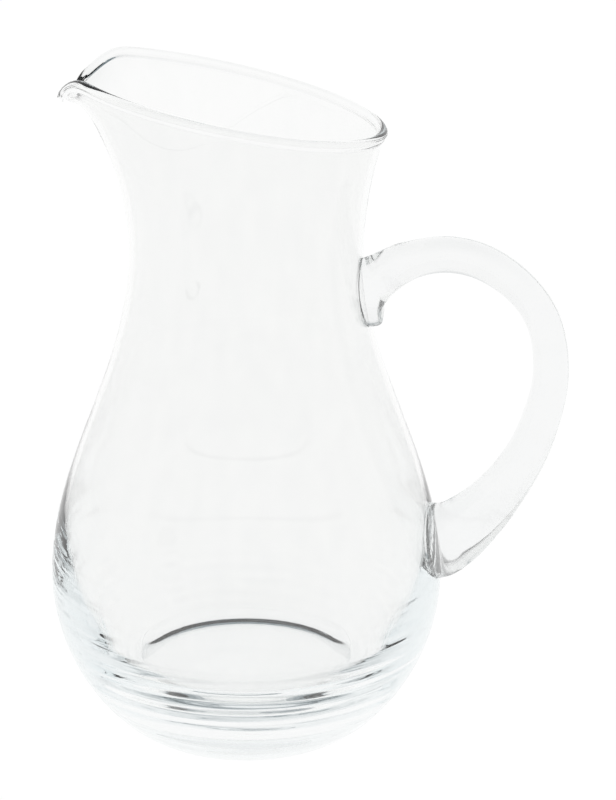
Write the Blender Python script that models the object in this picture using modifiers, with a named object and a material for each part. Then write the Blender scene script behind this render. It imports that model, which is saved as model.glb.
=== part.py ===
"""Large clear glass water jug with an applied handle.

Two pieces: the blown body with its drawn-out pouring lip, and the solid glass handle that is
laid on it hot. Units are metres, +Z is up, and the jug stands on z = 0 with its bounding box
centred on the Z axis. The handle points along +X and the lip along -X.
"""
import math

import bmesh
import bpy
from mathutils import Matrix, Vector

# Outside of the body. Radii are measured from the jug's own axis.
FOOT_RADIUS = 0.0410        # outer edge of the ring that the jug stands on
BELLY_RADIUS = 0.0755
BELLY_HEIGHT = 0.0620
NECK_RADIUS = 0.0440
NECK_HEIGHT = 0.1920
HEEL_ROUNDNESS = 1.5        # power of the sine that fills out the lower belly
SHOULDER_EASE = 0.973       # power that lets the shoulder fall away a little early

# Mouth. The middle of the rim is an oval in plan, on a slant that rises to the lip.
RIM_HEIGHT = 0.24665        # height of the slanted rim over the jug's axis
RIM_SLANT = 0.209           # rise for each metre towards the lip
MOUTH_LENGTH = 0.1190       # along X
MOUTH_WIDTH = 0.1000        # along Y
MOUTH_SHIFT = 0.0092        # from the jug's axis towards the lip
FLARE_POWER = 2.0
LIP_FOLD = 0.0530           # distance from the axis at which the lip starts to bend down
LIP_DROP = 0.0153           # how far the tip of the lip is bent down
LIP_DROP_POWER = 1.8

# Thickness of the glass.
THIN_WALL = 0.0021
THIN_HEIGHT = 0.1000        # the wall is thin from here up to the rim
BASE_WALL = 0.0160          # measured level, where the wall meets the inner floor
BASE_WALL_POWER = 2.0
FLOOR_EDGE_HEIGHT = 0.0180
FLOOR_THICKNESS = 0.0222    # at the axis, over the hollow of the underside
FLOOR_POWER = 9.0
INNER_WALL_EASE = 1.3       # power that sets the rings of the inner wall closer near the floor
PUNT_RADIUS = 0.0390        # inner edge of the standing ring
PUNT_DEPTH = 0.0018
PUNT_POWER = 9.0            # a high power keeps the hollow flat, with a steep edge
BEAD_RADIUS = 0.0019        # fire-polished rim
BEAD_BLEND = 0.0028         # length of wall over which the rim thickens

# Handle. The rod's bends are its inset from the outermost line, its height and its radius.
HANDLE_STANDOFF = 0.0460    # from the belly's widest radius to the outside of the handle
ROD_RADIUS = 0.0067
ROD_BENDS = (
    (0.0398, 0.1925, 0.0067),
    (0.0168, 0.1850, 0.0066),
    (0.0023, 0.1660, 0.0065),
    (0.0008, 0.1390, 0.0069),
    (0.0108, 0.1105, 0.0083),
    (0.0268, 0.0895, 0.0113),
)
UPPER_END_HEIGHT = 0.1690
UPPER_END_RADIUS = 0.0105
LOWER_END_HEIGHT = 0.0740
LOWER_END_RADIUS = 0.0140
END_DEPTH = 0.0080          # how far the rod's ends run inside the body before they are cut
JOINT_GAP = 0.0003

# Pads of glass where the handle is pressed on: height, half size out, across and up.
UPPER_PAD = (0.1760, 0.0055, 0.0100, 0.0130)
TAIL_PAD = (0.1675, 0.0065, 0.0070, 0.0042)
LOWER_PAD = (0.0790, 0.0130, 0.0125, 0.0147)

# Fineness of the mesh.
TURNS = 56
HEEL_STEPS = 8
SHOULDER_STEPS = 10
INNER_WALL_STEPS = 12
MOUTH_STEPS = 8
BEAD_BLEND_STEPS = 3
BEAD_STEPS = 4
FLOOR_STEPS = 5
PUNT_STEPS = 4
ROD_STEPS = 5               # between two of the rod's bends
ROD_ROUNDNESS = 6
PAD_TURNS = 20
PAD_STEPS = 12
MERGE_DISTANCE = 0.00001
SHARP_ANGLE = 50.0          # in degrees, for shading
SLOPE_STEP = 0.001          # small change used to find the mouth's slopes

GLASS_COLOUR = (0.96, 0.98, 0.98, 1.0)
GLASS_ROUGHNESS = 0.02
GLASS_IOR = 1.52

HANDLE_REACH = BELLY_RADIUS + HANDLE_STANDOFF
AXIS_X = (BELLY_RADIUS - HANDLE_REACH) / 2.0
NECK_MID_RADIUS = NECK_RADIUS - THIN_WALL / 2.0


def clear_scene():
    for obj in list(bpy.data.objects):
        bpy.data.objects.remove(obj, do_unlink=True)


def new_collection(name):
    collection = bpy.data.collections.new(name)
    bpy.context.scene.collection.children.link(collection)
    return collection


def blend(start, end, share):
    return start + (end - start) * share


def smooth_share(share):
    share = min(max(share, 0.0), 1.0)
    return share * share * (3.0 - 2.0 * share)


# ---------------------------------------------------------------- profile of the body

def outer_radius(height):
    """Outside radius of the turned body, from the standing ring to the neck."""
    if height < BELLY_HEIGHT:
        turn = math.acos(1.0 - height / BELLY_HEIGHT)
        return blend(FOOT_RADIUS, BELLY_RADIUS, math.sin(turn) ** HEEL_ROUNDNESS)
    share = min((height - BELLY_HEIGHT) / (NECK_HEIGHT - BELLY_HEIGHT), 1.0)
    swell = 0.5 * (1.0 + math.cos(math.pi * share ** SHOULDER_EASE))
    return blend(NECK_RADIUS, BELLY_RADIUS, swell)


def inner_radius(height):
    """Inside radius, from the edge of the floor to the neck."""
    depth = max(THIN_HEIGHT - height, 0.0) / (THIN_HEIGHT - FLOOR_EDGE_HEIGHT)
    wall = blend(THIN_WALL, BASE_WALL, depth ** BASE_WALL_POWER)
    return outer_radius(height) - wall


def half_wall(height):
    """Half the wall's thickness above the neck, swelling into the bead at the rim."""
    share = smooth_share(1.0 - (RIM_HEIGHT - height) / BEAD_BLEND)
    return blend(THIN_WALL / 2.0, BEAD_RADIUS, share)


def mouth_heights():
    """Heights of the rings above the neck, closer together where the wall swells into the bead."""
    swell_start = RIM_HEIGHT - BEAD_BLEND
    heights = [blend(NECK_HEIGHT, swell_start, step / MOUTH_STEPS) for step in range(1, MOUTH_STEPS + 1)]
    for step in range(1, BEAD_BLEND_STEPS + 1):
        heights.append(blend(swell_start, RIM_HEIGHT, step / BEAD_BLEND_STEPS))
    return heights


def outer_profile(gap=0.0):
    """Outside of the blank from the rim down to the standing ring, as (radius, height)."""
    points = []
    for height in reversed(mouth_heights()):
        points.append((NECK_MID_RADIUS + half_wall(height) + gap, height))
    for step in range(SHOULDER_STEPS, 0, -1):
        height = blend(BELLY_HEIGHT, NECK_HEIGHT, step / SHOULDER_STEPS)
        points.append((outer_radius(height) + gap, height))
    for step in range(HEEL_STEPS, -1, -1):
        turn = 0.5 * math.pi * step / HEEL_STEPS
        height = BELLY_HEIGHT * (1.0 - math.cos(turn))
        points.append((outer_radius(height) + gap, height))
    return points


def underside_profile():
    """Hollow of the underside, from the standing ring in to the axis."""
    points = []
    for step in range(PUNT_STEPS + 1):
        share = 1.0 - (step / PUNT_STEPS) ** 2
        points.append((PUNT_RADIUS * share, PUNT_DEPTH * (1.0 - share ** PUNT_POWER)))
    return points


def inner_profile():
    """Inside of the blank from the middle of the floor up to the rim."""
    points = []
    edge_radius = inner_radius(FLOOR_EDGE_HEIGHT)
    floor_height = PUNT_DEPTH + FLOOR_THICKNESS
    for step in range(FLOOR_STEPS):
        share = 1.0 - (1.0 - step / FLOOR_STEPS) ** 2
        height = blend(floor_height, FLOOR_EDGE_HEIGHT, share ** FLOOR_POWER)
        points.append((edge_radius * share, height))
    for step in range(INNER_WALL_STEPS + 1):
        share = (step / INNER_WALL_STEPS) ** INNER_WALL_EASE
        height = blend(FLOOR_EDGE_HEIGHT, NECK_HEIGHT, share)
        points.append((inner_radius(height), height))
    for height in mouth_heights():
        points.append((NECK_MID_RADIUS - half_wall(height), height))
    return points


def bead_profile():
    """Round top of the rim, from the inside over to the outside."""
    points = []
    for step in range(1, BEAD_STEPS):
        turn = math.pi * step / BEAD_STEPS
        radius = NECK_MID_RADIUS - BEAD_RADIUS * math.cos(turn)
        points.append((radius, RIM_HEIGHT + BEAD_RADIUS * math.sin(turn)))
    return points


# ---------------------------------------------------------------- shape of the mouth

def mouth_point(turn, share):
    """Middle of the wall above the neck. Turn 0 is the lip, share 1 is the rim."""
    neck = Vector((-math.cos(turn), math.sin(turn), 0.0)) * NECK_MID_RADIUS
    rim_x = -MOUTH_SHIFT - 0.5 * MOUTH_LENGTH * math.cos(turn)
    rim = Vector((rim_x, 0.5 * MOUTH_WIDTH * math.sin(turn), 0.0))
    point = neck.lerp(rim, share ** FLARE_POWER)
    rim_height = RIM_HEIGHT - RIM_SLANT * rim_x
    point.z = blend(NECK_HEIGHT, rim_height, share)
    tip = MOUTH_SHIFT + 0.5 * MOUTH_LENGTH
    fold = max(-point.x - LIP_FOLD, 0.0) / (tip - LIP_FOLD)
    point.z -= LIP_DROP * fold ** LIP_DROP_POWER
    return point


def formed(point):
    """Where a point of the turned blank ends up once the mouth is opened and the lip pulled."""
    if point.z <= NECK_HEIGHT:
        return point
    turn = math.atan2(point.y, -point.x)
    share = min((point.z - NECK_HEIGHT) / (RIM_HEIGHT - NECK_HEIGHT), 1.0)
    offset = math.hypot(point.x, point.y) - NECK_MID_RADIUS
    beyond = max(point.z - RIM_HEIGHT, 0.0)
    middle = mouth_point(turn, share)
    upward = (middle - mouth_point(turn, share - SLOPE_STEP)).normalized()
    around = mouth_point(turn + SLOPE_STEP, share) - mouth_point(turn - SLOPE_STEP, share)
    outward = upward.cross(around).normalized()
    if outward.dot(Vector((point.x, point.y, 0.0))) < 0.0:
        outward.negate()
    return middle + outward * offset + upward * beyond


# ---------------------------------------------------------------- modelling helpers

def turned(name, profile, collection):
    """A profile of (radius, height) points turned about the Z axis with a Screw modifier."""
    mesh = bpy.data.meshes.new(name)
    vertices = [(radius, 0.0, height) for radius, height in profile]
    edges = [(index, index + 1) for index in range(len(profile) - 1)]
    mesh.from_pydata(vertices, edges, [])
    obj = bpy.data.objects.new(name, mesh)
    collection.objects.link(obj)
    screw = obj.modifiers.new("Turn", "SCREW")
    screw.steps = TURNS
    screw.render_steps = TURNS
    screw.use_merge_vertices = True
    screw.merge_threshold = MERGE_DISTANCE
    return obj


def as_mesh(obj, collection):
    """Replace an object by the plain mesh that its curve or modifiers make."""
    graph = bpy.context.evaluated_depsgraph_get()
    mesh = bpy.data.meshes.new_from_object(obj.evaluated_get(graph))
    work = bmesh.new()
    work.from_mesh(mesh)
    bmesh.ops.remove_doubles(work, verts=work.verts, dist=MERGE_DISTANCE)
    work.to_mesh(mesh)
    work.free()
    name = obj.name
    place = obj.matrix_world.copy()
    bpy.data.objects.remove(obj, do_unlink=True)
    solid = bpy.data.objects.new(name, mesh)
    solid.matrix_world = place
    collection.objects.link(solid)
    return solid


def form_mouth(obj):
    for vertex in obj.data.vertices:
        vertex.co = formed(vertex.co.copy())


def close_top(obj):
    work = bmesh.new()
    work.from_mesh(obj.data)
    rim = [edge for edge in work.edges if edge.is_boundary]
    bmesh.ops.holes_fill(work, edges=rim, sides=0)
    work.to_mesh(obj.data)
    work.free()


def mark_as_cutter(obj):
    obj.hide_render = True
    obj.display_type = "WIRE"


def add_boolean(obj, cutter, operation):
    modifier = obj.modifiers.new(cutter.name, "BOOLEAN")
    modifier.operation = operation
    modifier.solver = "EXACT"
    modifier.object = cutter


def glass(name):
    material = bpy.data.materials.new(name)
    material.use_nodes = True
    shader = material.node_tree.nodes["Principled BSDF"]
    shader.inputs["Base Color"].default_value = GLASS_COLOUR
    shader.inputs["Roughness"].default_value = GLASS_ROUGHNESS
    shader.inputs["Metallic"].default_value = 0.0
    shader.inputs["IOR"].default_value = GLASS_IOR
    shader.inputs["Transmission Weight"].default_value = 1.0
    return material


# ---------------------------------------------------------------- the two pieces

def make_body(collection):
    profile = inner_profile() + bead_profile() + outer_profile() + underside_profile()
    body = as_mesh(turned("jug_body", profile, collection), collection)
    form_mouth(body)
    body.data.shade_smooth()
    body.data.set_sharp_from_angle(angle=math.radians(SHARP_ANGLE))
    body.data.materials.append(glass("body_glass"))
    body.location.x = AXIS_X
    return body


def make_envelope(collection):
    """The body without its hollow, grown by the joint's gap, which cuts the handle."""
    profile = outer_profile(JOINT_GAP) + [(0.0, 0.0)]
    envelope = as_mesh(turned("body_envelope", profile, collection), collection)
    form_mouth(envelope)
    close_top(envelope)
    envelope.location.x = AXIS_X
    mark_as_cutter(envelope)
    return envelope


def make_rod(collection):
    outermost = HANDLE_REACH - ROD_RADIUS
    upper_out = outer_radius(UPPER_END_HEIGHT) - END_DEPTH
    lower_out = outer_radius(LOWER_END_HEIGHT) - END_DEPTH
    stations = [(upper_out, UPPER_END_HEIGHT, UPPER_END_RADIUS)]
    stations += [(outermost - inset, height, radius) for inset, height, radius in ROD_BENDS]
    stations.append((lower_out, LOWER_END_HEIGHT, LOWER_END_RADIUS))

    curve = bpy.data.curves.new("handle", "CURVE")
    curve.dimensions = "3D"
    curve.bevel_depth = ROD_RADIUS
    curve.bevel_resolution = ROD_ROUNDNESS
    curve.resolution_u = ROD_STEPS
    curve.use_fill_caps = True
    spline = curve.splines.new("BEZIER")
    spline.radius_interpolation = "CARDINAL"
    spline.bezier_points.add(len(stations) - 1)
    for point, (out, height, radius) in zip(spline.bezier_points, stations):
        point.co = (out, 0.0, height)
        point.radius = radius / ROD_RADIUS
        point.handle_left_type = "AUTO"
        point.handle_right_type = "AUTO"
    rod = bpy.data.objects.new("handle", curve)
    rod.location.x = AXIS_X
    collection.objects.link(rod)
    bpy.context.view_layer.update()
    return as_mesh(rod, collection)


def make_pad(name, pad, collection):
    """A flattened ball of glass centred on the outside of the body."""
    height, half_out, half_across, half_up = pad
    mesh = bpy.data.meshes.new(name)
    work = bmesh.new()
    size = Matrix.Diagonal((half_out, half_across, half_up, 1.0))
    bmesh.ops.create_uvsphere(work, u_segments=PAD_TURNS, v_segments=PAD_STEPS, radius=1.0, matrix=size)
    work.to_mesh(mesh)
    work.free()
    ball = bpy.data.objects.new(name, mesh)
    ball.location = (AXIS_X + outer_radius(height), 0.0, height)
    collection.objects.link(ball)
    mark_as_cutter(ball)
    return ball


def make_handle(collection, cutters, envelope):
    handle = make_rod(collection)
    add_boolean(handle, make_pad("upper_pad", UPPER_PAD, cutters), "UNION")
    add_boolean(handle, make_pad("tail_pad", TAIL_PAD, cutters), "UNION")
    add_boolean(handle, make_pad("lower_pad", LOWER_PAD, cutters), "UNION")
    add_boolean(handle, envelope, "DIFFERENCE")
    handle.data.shade_smooth()
    handle.data.materials.append(glass("handle_glass"))
    return handle


def main():
    clear_scene()
    parts = new_collection("large_water_jug")
    cutters = new_collection("cutters")
    make_body(parts)
    envelope = make_envelope(cutters)
    make_handle(parts, cutters, envelope)


main()
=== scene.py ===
import math

import bpy
from mathutils import Euler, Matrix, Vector


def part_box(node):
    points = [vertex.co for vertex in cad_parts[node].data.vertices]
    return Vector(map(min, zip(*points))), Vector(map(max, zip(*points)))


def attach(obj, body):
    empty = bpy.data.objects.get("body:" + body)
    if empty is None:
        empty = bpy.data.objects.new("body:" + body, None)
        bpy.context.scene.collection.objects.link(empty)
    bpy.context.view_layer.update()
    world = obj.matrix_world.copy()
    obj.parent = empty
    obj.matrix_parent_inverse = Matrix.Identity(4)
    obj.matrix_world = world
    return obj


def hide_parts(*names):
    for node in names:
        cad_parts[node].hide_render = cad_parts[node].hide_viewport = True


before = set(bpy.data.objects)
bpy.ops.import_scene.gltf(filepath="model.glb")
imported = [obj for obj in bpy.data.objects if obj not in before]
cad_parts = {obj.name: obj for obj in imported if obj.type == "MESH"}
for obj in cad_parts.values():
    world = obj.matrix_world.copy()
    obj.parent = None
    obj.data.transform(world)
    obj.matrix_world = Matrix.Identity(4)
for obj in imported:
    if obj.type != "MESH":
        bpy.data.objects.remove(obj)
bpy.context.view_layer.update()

# ---------------------------------------------------------------- sizes, in metres

body_low, body_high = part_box("jug_body")

# Outside of the body. Radii are measured from the jug's own axis.
BELLY_RADIUS = (body_high.y - body_low.y) / 2.0
BELLY_HEIGHT = 0.0620
NECK_RADIUS = 0.0440
NECK_HEIGHT = 0.1920
FOOT_RADIUS = 0.0410
HEEL_ROUNDNESS = 1.5
SHOULDER_EASE = 0.973
AXIS_X = body_low.x + BELLY_RADIUS

# Mouth. The rim is an oval in plan, on a slant that rises to the lip, whose tip is bent down.
RIM_HEIGHT = 0.24655
RIM_SLANT = 0.209
MOUTH_LENGTH = 0.1190
MOUTH_WIDTH = 0.1000
MOUTH_SHIFT = 0.0092
FLARE_POWER = 2.0
LIP_FOLD = 0.0530
LIP_DROP = 0.0153
LIP_DROP_POWER = 1.8

# Thickness of the glass, and the hollow of the underside.
THIN_WALL = 0.0021
THIN_HEIGHT = 0.1000
BASE_WALL = 0.0160
BASE_WALL_POWER = 2.0
FLOOR_EDGE_HEIGHT = 0.0180
FLOOR_HEIGHT = 0.0240
FLOOR_POWER = 9.0
PUNT_RADIUS = 0.0390
PUNT_DEPTH = 0.0018
PUNT_POWER = 9.0
EDGE_CROWDING = 1.6         # power that sets the rings of the floor and underside closer at their edge
BEAD_RADIUS = 0.0019
BEAD_BLEND = 0.0028

# Faint rings left by the blowing: the heights between which they lie, and how deep they are.
RIPPLE_TOP = 0.0500
RIPPLE_DEPTH = 0.00030
RIPPLE_SPACINGS = (0.0057, 0.0083)
RIPPLE_SECOND_SHARE = 0.7   # strength of the wider rings against the closer ones
RIPPLE_TOP_FADE = 0.012
RIPPLE_LOW_FADE = 0.004
HEEL_RIPPLE_LOW = 0.0020
HEEL_RIPPLE_TOP = 0.0280
HEEL_RIPPLE_DEPTH = 0.00030
ON_SURFACE = 0.0005         # how near a point lies to a wall that it belongs to

NECK_MID_RADIUS = NECK_RADIUS - THIN_WALL / 2.0

# Handle stations: distance out from the jug's axis, height, half thickness, half width and
# the lean of the section from upright, in degrees.
HANDLE_STATIONS = (
    (0.0420, 0.1760, 0.0128, 0.0086, -4.0),
    (0.0478, 0.1768, 0.0134, 0.0088, -13.0),
    (0.0503, 0.1798, 0.0121, 0.0087, -8.0),
    (0.0520, 0.1826, 0.0105, 0.0085, -3.0),
    (0.0553, 0.1858, 0.0088, 0.0082, -6.0),
    (0.0619, 0.1897, 0.0071, 0.0076, -20.0),
    (0.0749, 0.1925, 0.0068, 0.0073, 0.0),
    (0.0890, 0.1900, 0.0067, 0.0072, 23.0),
    (0.1025, 0.1812, 0.0065, 0.0071, 44.0),
    (0.1115, 0.1690, 0.0065, 0.0071, 65.0),
    (0.1149, 0.1530, 0.0067, 0.0073, 85.0),
    (0.1138, 0.1379, 0.0070, 0.0077, 101.0),
    (0.1075, 0.1174, 0.0078, 0.0086, 114.0),
    (0.0965, 0.0991, 0.0094, 0.0102, 127.0),
    (0.0860, 0.0872, 0.0117, 0.0122, 136.0),
    (0.0800, 0.0820, 0.0132, 0.0136, 150.0),
    (0.0755, 0.0795, 0.0145, 0.0146, 165.0),
    (0.0700, 0.0785, 0.0147, 0.0148, 176.0),
)
JOINT_GAP = 0.0002

# Fineness of the meshes, before their subdivision.
STATION_STEPS = 3           # between two handle stations
RING_POINTS = 32            # round the handle
PROFILE_TURNS = 96          # round the body
ENVELOPE_TURNS = 192        # round the solid that cuts the handle, which isn't subdivided
MOUTH_RINGS = 14
BEAD_BLEND_RINGS = 5
BEAD_RINGS = 8
SHOULDER_RINGS = 28
HEEL_RINGS = 24
UNDERSIDE_RINGS = 20
FLOOR_RINGS = 24
RIPPLED_WALL_RINGS = 46
UPPER_WALL_RINGS = 18
START_SIZE = 0.001          # plane that is merged to the first point of a profile
MERGE_DISTANCE = 0.00001
SLOPE_STEP = 0.001          # small change used to find the mouth's slopes
SHARP_ANGLE = 35.0          # in degrees, where the handle is cut to the body

# Glass. Scales are those of noise over metres.
GLASS_IOR = 1.5
ABSORPTION_COLOUR = (0.60, 0.76, 0.80, 1.0)
ABSORPTION_DENSITY = 1.2
CORD_SCALE = 160.0
WAVE_SCALE = 28.0
MOST_HAZE = 0.012

# Camera: a long lens a metre from the axis, looking down, with the handle turned towards it.
CAMERA_TURN = 10.0
CAMERA_DISTANCE = 0.973     # level, from the jug's axis
CAMERA_HEIGHT = 0.457
CAMERA_DOWN = 18.505
CAMERA_LENS = 121.2
CAMERA_SENSOR = 36.0
CAMERA_SHIFT = 0.077

FLOOR_SIZE = 8.0
LIGHT_BOUNCES = 32
GLOSSY_BOUNCES = 16


# ---------------------------------------------------------------- small helpers

def blend(start, end, share):
    return start + (end - start) * share


def smooth_share(share):
    share = min(max(share, 0.0), 1.0)
    return share * share * (3.0 - 2.0 * share)


def deselect():
    if bpy.context.object and bpy.context.object.mode != "OBJECT":
        bpy.ops.object.mode_set(mode="OBJECT")
    bpy.ops.object.select_all(action="DESELECT")


def make_active(obj):
    deselect()
    obj.select_set(True)
    bpy.context.view_layer.objects.active = obj


def apply_modifier(obj, kind, **settings):
    make_active(obj)
    modifier = obj.modifiers.new(kind.title(), kind)
    for name, value in settings.items():
        setattr(modifier, name, value)
    bpy.ops.object.modifier_apply(modifier=modifier.name)


def settle(obj):
    """Put the object's place into its mesh, so that the object itself sits at the origin."""
    make_active(obj)
    bpy.ops.object.transform_apply(location=True, rotation=True, scale=True)


# ---------------------------------------------------------------- profile of the body

def outer_radius(height):
    """Outside radius, from the standing ring to the neck."""
    if height < BELLY_HEIGHT:
        turn = math.acos(1.0 - height / BELLY_HEIGHT)
        return blend(FOOT_RADIUS, BELLY_RADIUS, math.sin(turn) ** HEEL_ROUNDNESS)
    share = min((height - BELLY_HEIGHT) / (NECK_HEIGHT - BELLY_HEIGHT), 1.0)
    swell = 0.5 * (1.0 + math.cos(math.pi * share ** SHOULDER_EASE))
    return blend(NECK_RADIUS, BELLY_RADIUS, swell)


def inner_radius(height):
    """Inside radius, from the edge of the floor to the neck."""
    depth = max(THIN_HEIGHT - height, 0.0) / (THIN_HEIGHT - FLOOR_EDGE_HEIGHT)
    wall = blend(THIN_WALL, BASE_WALL, depth ** BASE_WALL_POWER)
    return outer_radius(height) - wall


def half_wall(height):
    """Half the wall's thickness above the neck, swelling into the bead at the rim."""
    share = smooth_share(1.0 - (RIM_HEIGHT - height) / BEAD_BLEND)
    return blend(THIN_WALL / 2.0, BEAD_RADIUS, share)


def mouth_heights():
    """Heights of the rings above the neck, closer together where the wall swells into the bead."""
    rise = RIM_HEIGHT - BEAD_BLEND - NECK_HEIGHT
    heights = [NECK_HEIGHT + rise * step / MOUTH_RINGS for step in range(1, MOUTH_RINGS + 1)]
    for step in range(1, BEAD_BLEND_RINGS + 1):
        heights.append(RIM_HEIGHT - BEAD_BLEND * (1.0 - step / BEAD_BLEND_RINGS))
    return heights


def outer_profile(gap=0.0):
    """Outside from the rim down to the standing ring, as (radius, height)."""
    points = []
    for height in reversed(mouth_heights()):
        points.append((NECK_MID_RADIUS + half_wall(height) + gap, height))
    for step in range(SHOULDER_RINGS, 0, -1):
        height = blend(BELLY_HEIGHT, NECK_HEIGHT, step / SHOULDER_RINGS)
        points.append((outer_radius(height) + gap, height))
    for step in range(HEEL_RINGS, -1, -1):
        turn = 0.5 * math.pi * step / HEEL_RINGS
        height = BELLY_HEIGHT * (1.0 - math.cos(turn))
        points.append((outer_radius(height) + gap, height))
    return points


def underside_profile():
    """Hollow of the underside, from the standing ring in to the axis."""
    points = []
    for step in range(UNDERSIDE_RINGS + 1):
        share = 1.0 - (step / UNDERSIDE_RINGS) ** EDGE_CROWDING
        points.append((PUNT_RADIUS * share, PUNT_DEPTH * (1.0 - share ** PUNT_POWER)))
    return points


def inner_profile():
    """Inside from the middle of the floor up to the rim."""
    points = []
    edge_radius = inner_radius(FLOOR_EDGE_HEIGHT)
    for step in range(FLOOR_RINGS):
        share = 1.0 - (1.0 - step / FLOOR_RINGS) ** EDGE_CROWDING
        height = blend(FLOOR_HEIGHT, FLOOR_EDGE_HEIGHT, share ** FLOOR_POWER)
        points.append((edge_radius * share, height))
    for step in range(RIPPLED_WALL_RINGS):
        height = blend(FLOOR_EDGE_HEIGHT, RIPPLE_TOP, step / RIPPLED_WALL_RINGS)
        points.append((inner_radius(height), height))
    for step in range(UPPER_WALL_RINGS + 1):
        height = blend(RIPPLE_TOP, NECK_HEIGHT, step / UPPER_WALL_RINGS)
        points.append((inner_radius(height), height))
    for height in mouth_heights():
        points.append((NECK_MID_RADIUS - half_wall(height), height))
    return points


def bead_profile():
    """Round top of the rim, from the inside over to the outside."""
    points = []
    for step in range(1, BEAD_RINGS):
        turn = math.pi * step / BEAD_RINGS
        radius = NECK_MID_RADIUS - BEAD_RADIUS * math.cos(turn)
        points.append((radius, RIM_HEIGHT + BEAD_RADIUS * math.sin(turn)))
    return points


# ---------------------------------------------------------------- shape of the mouth

def mouth_point(turn, share):
    """Middle of the wall above the neck. Turn 0 is the lip, share 1 is the rim."""
    neck = Vector((-math.cos(turn), math.sin(turn), 0.0)) * NECK_MID_RADIUS
    rim_x = -MOUTH_SHIFT - 0.5 * MOUTH_LENGTH * math.cos(turn)
    rim = Vector((rim_x, 0.5 * MOUTH_WIDTH * math.sin(turn), 0.0))
    point = neck.lerp(rim, share ** FLARE_POWER)
    rim_height = RIM_HEIGHT - RIM_SLANT * rim_x
    point.z = blend(NECK_HEIGHT, rim_height, share)
    tip = MOUTH_SHIFT + 0.5 * MOUTH_LENGTH
    fold = max(-point.x - LIP_FOLD, 0.0) / (tip - LIP_FOLD)
    point.z -= LIP_DROP * fold ** LIP_DROP_POWER
    return point


def formed(point):
    """Where a point of the turned body ends up once the mouth is opened and the lip pulled."""
    if point.z <= NECK_HEIGHT:
        return point
    turn = math.atan2(point.y, -point.x)
    share = min((point.z - NECK_HEIGHT) / (RIM_HEIGHT - NECK_HEIGHT), 1.0)
    offset = math.hypot(point.x, point.y) - NECK_MID_RADIUS
    beyond = max(point.z - RIM_HEIGHT, 0.0)
    middle = mouth_point(turn, share)
    upward = (middle - mouth_point(turn, share - SLOPE_STEP)).normalized()
    around = mouth_point(turn + SLOPE_STEP, share) - mouth_point(turn - SLOPE_STEP, share)
    outward = upward.cross(around).normalized()
    if outward.dot(Vector((point.x, point.y, 0.0))) < 0.0:
        outward.negate()
    return middle + outward * offset + upward * beyond


def ripple(turn, height, low, top):
    """Faint rings of the blowing between two heights, from -1 to 1."""
    first, second = RIPPLE_SPACINGS
    fade = smooth_share((top - height) / RIPPLE_TOP_FADE) * smooth_share((height - low) / RIPPLE_LOW_FADE)
    wander = 1.2 * math.sin(2.0 * turn + 0.6) + 0.7 * math.sin(3.0 * turn - 1.1)
    rings = math.sin(math.tau * height / first + wander)
    rings += RIPPLE_SECOND_SHARE * math.sin(math.tau * height / second - 1.7 * wander + turn)
    lobes = 0.75 + 0.25 * math.sin(5.0 * turn + 400.0 * height)
    return fade * rings * lobes / (1.0 + RIPPLE_SECOND_SHARE)


def add_ripples(obj):
    """Press the rings into the inner wall over the floor and into the heel outside."""
    for vertex in obj.data.vertices:
        x, y, height = vertex.co.x - AXIS_X, vertex.co.y, vertex.co.z
        radius = math.hypot(x, y)
        turn = math.atan2(y, x)
        push = 0.0
        if FLOOR_EDGE_HEIGHT < height < RIPPLE_TOP and abs(radius - inner_radius(height)) < ON_SURFACE:
            push = RIPPLE_DEPTH * ripple(turn, height, FLOOR_EDGE_HEIGHT, RIPPLE_TOP)
        if HEEL_RIPPLE_LOW < height < HEEL_RIPPLE_TOP and abs(radius - outer_radius(height)) < ON_SURFACE:
            push = HEEL_RIPPLE_DEPTH * ripple(turn, height, HEEL_RIPPLE_LOW, HEEL_RIPPLE_TOP)
        if push:
            vertex.co.x = AXIS_X + x * (1.0 + push / radius)
            vertex.co.y = y * (1.0 + push / radius)


def form_mouth(obj):
    axis = Vector((AXIS_X, 0.0, 0.0))
    for vertex in obj.data.vertices:
        vertex.co = formed(vertex.co - axis) + axis


def turned(name, profile, turns):
    """Draw a profile by extruding one point along it, then spin it round the jug's axis."""
    start = Vector((AXIS_X + profile[0][0], 0.0, profile[0][1]))
    deselect()
    bpy.ops.mesh.primitive_plane_add(size=START_SIZE, location=start)
    obj = bpy.context.object
    obj.name = name
    settle(obj)
    bpy.ops.object.mode_set(mode="EDIT")
    bpy.ops.mesh.select_mode(type="VERT")
    bpy.ops.mesh.select_all(action="SELECT")
    bpy.ops.mesh.merge(type="CENTER")
    for (radius, height), (next_radius, next_height) in zip(profile, profile[1:]):
        move = (next_radius - radius, 0.0, next_height - height)
        bpy.ops.mesh.extrude_vertices_move(TRANSFORM_OT_translate={"value": move})
    bpy.ops.mesh.select_all(action="SELECT")
    bpy.ops.mesh.spin(steps=turns, angle=math.tau, center=(AXIS_X, 0.0, 0.0), axis=(0.0, 0.0, 1.0))
    bpy.ops.mesh.select_all(action="SELECT")
    bpy.ops.mesh.remove_doubles(threshold=MERGE_DISTANCE)
    bpy.ops.mesh.normals_make_consistent(inside=False)
    bpy.ops.object.mode_set(mode="OBJECT")
    return obj


def make_body():
    profile = inner_profile() + bead_profile() + outer_profile() + underside_profile()
    body = turned("jug_glass", profile, PROFILE_TURNS)
    add_ripples(body)
    form_mouth(body)
    apply_modifier(body, "SUBSURF", levels=1, render_levels=1)
    make_active(body)
    bpy.ops.object.shade_smooth()
    return body


# ---------------------------------------------------------------- handle

def curve_through(before, start, end, after, share):
    """Catmull-Rom value between start and end."""
    a = 2.0 * start
    b = end - before
    c = 2.0 * before - 5.0 * start + 4.0 * end - after
    d = -before + 3.0 * start - 3.0 * end + after
    return 0.5 * (a + b * share + c * share ** 2 + d * share ** 3)


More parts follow.
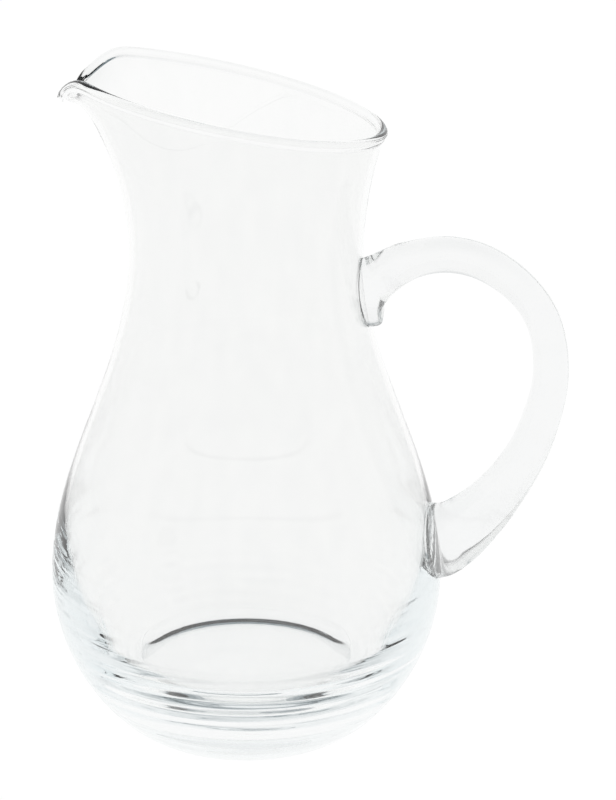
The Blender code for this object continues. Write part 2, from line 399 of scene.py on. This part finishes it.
def handle_sections():
    """The handle's sections: its stations, with smooth steps between them."""
    sections = []
    last = len(HANDLE_STATIONS) - 1
    for index in range(last):
        four = [HANDLE_STATIONS[min(max(index + step, 0), last)] for step in (-1, 0, 1, 2)]
        for step in range(STATION_STEPS):
            share = step / STATION_STEPS
            sections.append([curve_through(*values, share) for values in zip(*four)])
    sections.append(list(HANDLE_STATIONS[last]))
    return sections


def make_rod():
    """Extrude a circle through the sections, scaled and turned to each of them."""
    sections = handle_sections()
    out, height, thick, wide, lean = sections[0]
    deselect()
    bpy.ops.mesh.primitive_circle_add(
        vertices=RING_POINTS, radius=1.0, fill_type="NGON", location=(AXIS_X + out, 0.0, height),
        rotation=(0.0, math.radians(90.0 + lean), 0.0), scale=(1.0, 1.0, 1.0))
    rod = bpy.context.object
    rod.name = "handle_glass"
    settle(rod)
    bpy.ops.object.mode_set(mode="EDIT")
    bpy.ops.mesh.select_mode(type="FACE")
    bpy.ops.mesh.select_all(action="SELECT")
    centre = (AXIS_X + out, 0.0, height)
    bpy.ops.transform.resize(value=(thick, wide, thick), center_override=centre)
    for new_out, new_height, new_thick, new_wide, new_lean in sections[1:]:
        move = (new_out - out, 0.0, new_height - height)
        bpy.ops.mesh.extrude_region_move(TRANSFORM_OT_translate={"value": move})
        centre = (AXIS_X + new_out, 0.0, new_height)
        growth = (new_thick / thick, new_wide / wide, new_thick / thick)
        bpy.ops.transform.resize(value=growth, center_override=centre)
        turn = -math.radians(new_lean - lean)
        bpy.ops.transform.rotate(value=turn, orient_axis="Y", center_override=centre)
        out, height, thick, wide, lean = new_out, new_height, new_thick, new_wide, new_lean
    bpy.ops.mesh.select_all(action="SELECT")
    bpy.ops.mesh.normals_make_consistent(inside=False)
    bpy.ops.object.mode_set(mode="OBJECT")
    return rod


def make_handle():
    """The rod, cut by the body's outside with the joint's gap left between them."""
    rod = make_rod()
    apply_modifier(rod, "SUBSURF", levels=1, render_levels=1)
    envelope = turned("envelope", outer_profile(JOINT_GAP) + [(0.0, 0.0)], ENVELOPE_TURNS)
    form_mouth(envelope)
    make_active(envelope)
    bpy.ops.object.mode_set(mode="EDIT")
    bpy.ops.mesh.select_all(action="DESELECT")
    bpy.ops.mesh.select_mode(type="EDGE")
    bpy.ops.mesh.select_non_manifold(extend=False)
    bpy.ops.mesh.edge_face_add()
    bpy.ops.mesh.select_all(action="SELECT")
    bpy.ops.mesh.normals_make_consistent(inside=False)
    bpy.ops.object.mode_set(mode="OBJECT")
    apply_modifier(rod, "BOOLEAN", operation="DIFFERENCE", solver="EXACT", object=envelope)
    bpy.data.objects.remove(envelope, do_unlink=True)
    make_active(rod)
    bpy.ops.object.shade_smooth_by_angle(angle=math.radians(SHARP_ANGLE))
    return rod


# ---------------------------------------------------------------- glass

def drawn_glass_group():
    """Cords and waves that stay in glass as it cools: a height, a tint mask and a haze."""
    group = bpy.data.node_groups.new("cords_and_waves", "ShaderNodeTree")
    for name, kind in (("Place", "NodeSocketVector"), ("Cord scale", "NodeSocketFloat"),
                       ("Wave scale", "NodeSocketFloat"), ("Cord share", "NodeSocketFloat")):
        group.interface.new_socket(name, in_out="INPUT", socket_type=kind)
    for name in ("Height", "Tint", "Haze"):
        group.interface.new_socket(name, in_out="OUTPUT", socket_type="NodeSocketFloat")
    nodes = group.nodes
    links = group.links
    given = nodes.new("NodeGroupInput")
    result = nodes.new("NodeGroupOutput")

    cords = nodes.new("ShaderNodeTexNoise")
    cords.inputs["Detail"].default_value = 3.0
    cords.inputs["Roughness"].default_value = 0.45
    links.new(given.outputs["Place"], cords.inputs["Vector"])
    links.new(given.outputs["Cord scale"], cords.inputs["Scale"])

    waves = nodes.new("ShaderNodeTexNoise")
    waves.inputs["Detail"].default_value = 1.0
    links.new(given.outputs["Place"], waves.inputs["Vector"])
    links.new(given.outputs["Wave scale"], waves.inputs["Scale"])

    height = nodes.new("ShaderNodeMix")
    height.data_type = "FLOAT"
    links.new(given.outputs["Cord share"], height.inputs["Factor"])
    links.new(waves.outputs["Fac"], height.inputs["A"])
    links.new(cords.outputs["Fac"], height.inputs["B"])
    links.new(height.outputs["Result"], result.inputs["Height"])

    tint = nodes.new("ShaderNodeMapRange")
    tint.inputs["From Min"].default_value = 0.35
    tint.inputs["From Max"].default_value = 0.70
    links.new(cords.outputs["Fac"], tint.inputs["Value"])
    links.new(tint.outputs["Result"], result.inputs["Tint"])

    haze = nodes.new("ShaderNodeMapRange")
    haze.inputs["From Min"].default_value = 0.50
    haze.inputs["From Max"].default_value = 0.80
    haze.inputs["To Min"].default_value = 0.0
    haze.inputs["To Max"].default_value = MOST_HAZE
    links.new(waves.outputs["Fac"], haze.inputs["Value"])
    links.new(haze.outputs["Result"], result.inputs["Haze"])
    return group


def glass_material(name, clear, corded, stretch, cord_share, wave_depth):
    """Clear glass. Its cords are drawn out along the axis that has the smallest number in stretch."""
    material = bpy.data.materials.new(name)
    material.use_nodes = True
    nodes = material.node_tree.nodes
    links = material.node_tree.links
    shader = nodes["Principled BSDF"]
    shader.inputs["IOR"].default_value = GLASS_IOR
    shader.inputs["Transmission Weight"].default_value = 1.0

    coords = nodes.new("ShaderNodeTexCoord")
    place = nodes.new("ShaderNodeMapping")
    place.inputs["Location"].default_value = (-AXIS_X * stretch[0], 0.0, 0.0)
    place.inputs["Scale"].default_value = stretch
    links.new(coords.outputs["Object"], place.inputs["Vector"])

    effect = nodes.new("ShaderNodeGroup")
    effect.node_tree = bpy.data.node_groups.get("cords_and_waves") or drawn_glass_group()
    effect.inputs["Cord scale"].default_value = CORD_SCALE
    effect.inputs["Wave scale"].default_value = WAVE_SCALE
    effect.inputs["Cord share"].default_value = cord_share
    links.new(place.outputs["Vector"], effect.inputs["Place"])

    colour = nodes.new("ShaderNodeMix")
    colour.data_type = "RGBA"
    colour.inputs["A"].default_value = (*clear, 1.0)
    colour.inputs["B"].default_value = (*corded, 1.0)
    links.new(effect.outputs["Tint"], colour.inputs["Factor"])
    links.new(colour.outputs["Result"], shader.inputs["Base Color"])
    links.new(effect.outputs["Haze"], shader.inputs["Roughness"])

    bump = nodes.new("ShaderNodeBump")
    bump.inputs["Strength"].default_value = 1.0
    bump.inputs["Distance"].default_value = wave_depth
    links.new(effect.outputs["Height"], bump.inputs["Height"])
    links.new(bump.outputs["Normal"], shader.inputs["Normal"])

    absorb = nodes.new("ShaderNodeVolumeAbsorption")
    absorb.inputs["Color"].default_value = ABSORPTION_COLOUR
    absorb.inputs["Density"].default_value = ABSORPTION_DENSITY
    links.new(absorb.outputs["Volume"], nodes["Material Output"].inputs["Volume"])
    return material


def body_glass():
    return glass_material(
        "body_glass", clear=(0.957, 0.959, 0.955), corded=(0.944, 0.947, 0.944),
        stretch=(1.0, 1.0, 0.35), cord_share=0.25, wave_depth=0.00006)


def handle_glass():
    return glass_material(
        "handle_glass", clear=(0.930, 0.932, 0.930), corded=(0.914, 0.918, 0.916),
        stretch=(0.5, 1.6, 0.5), cord_share=0.5, wave_depth=0.00008)


# ---------------------------------------------------------------- studio

def make_floor():
    """A white floor that gives its own light, so that no shadow or edge of it shows."""
    deselect()
    bpy.ops.mesh.primitive_plane_add(size=FLOOR_SIZE, location=(0.0, 0.0, 0.0))
    floor = bpy.context.object
    floor.name = "studio_floor"
    material = bpy.data.materials.new("pale_floor")
    material.use_nodes = True
    shader = material.node_tree.nodes["Principled BSDF"]
    shader.inputs["Base Color"].default_value = (0.02, 0.02, 0.02, 1.0)
    shader.inputs["Roughness"].default_value = 1.0
    shader.inputs["Specular IOR Level"].default_value = 0.0
    shader.inputs["Emission Color"].default_value = (1.0, 1.0, 1.0, 1.0)
    shader.inputs["Emission Strength"].default_value = 1.0
    floor.data.materials.append(material)
    return floor


def make_world():
    """White round the sides, falling to a dark slate ceiling."""
    world = bpy.data.worlds.new("studio")
    bpy.context.scene.world = world
    world.use_nodes = True
    nodes = world.node_tree.nodes
    links = world.node_tree.links
    nodes["Background"].inputs["Strength"].default_value = 1.0
    coords = nodes.new("ShaderNodeTexCoord")
    split = nodes.new("ShaderNodeSeparateXYZ")
    links.new(coords.outputs["Generated"], split.inputs["Vector"])
    ramp = nodes.new("ShaderNodeValToRGB")
    links.new(split.outputs["Z"], ramp.inputs["Fac"])
    stops = ((0.50, (1.0, 1.0, 1.0)), (0.80, (0.60, 0.62, 0.63)), (0.97, (0.11, 0.16, 0.185)))
    while len(ramp.color_ramp.elements) < len(stops):
        ramp.color_ramp.elements.new(0.5)
    for element, (position, colour) in zip(ramp.color_ramp.elements, stops):
        element.position = position
        element.color = (*colour, 1.0)
    links.new(ramp.outputs["Color"], nodes["Background"].inputs["Color"])


def make_camera():
    turn = math.radians(CAMERA_TURN)
    data = bpy.data.cameras.new("camera")
    data.lens = CAMERA_LENS
    data.sensor_width = CAMERA_SENSOR
    data.shift_x = CAMERA_SHIFT
    camera = bpy.data.objects.new("camera", data)
    camera.location = (
        AXIS_X + CAMERA_DISTANCE * math.sin(turn), -CAMERA_DISTANCE * math.cos(turn), CAMERA_HEIGHT)
    camera.rotation_euler = Euler((math.radians(90.0 - CAMERA_DOWN), 0.0, turn))
    bpy.context.collection.objects.link(camera)
    bpy.context.scene.camera = camera


# ---------------------------------------------------------------- the jug and its studio

body = make_body()
handle = make_handle()
body.data.materials.append(body_glass())
handle.data.materials.append(handle_glass())
for piece, node, slot in ((body, "jug_body", "body_glass"), (handle, "handle", "handle_glass")):
    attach(piece, "root")
    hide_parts(node)

make_floor()
make_world()
make_camera()
bpy.context.scene.view_settings.view_transform = "Standard"
bpy.context.scene.cycles.max_bounces = LIGHT_BOUNCES
bpy.context.scene.cycles.transmission_bounces = LIGHT_BOUNCES
bpy.context.scene.cycles.glossy_bounces = GLOSSY_BOUNCES
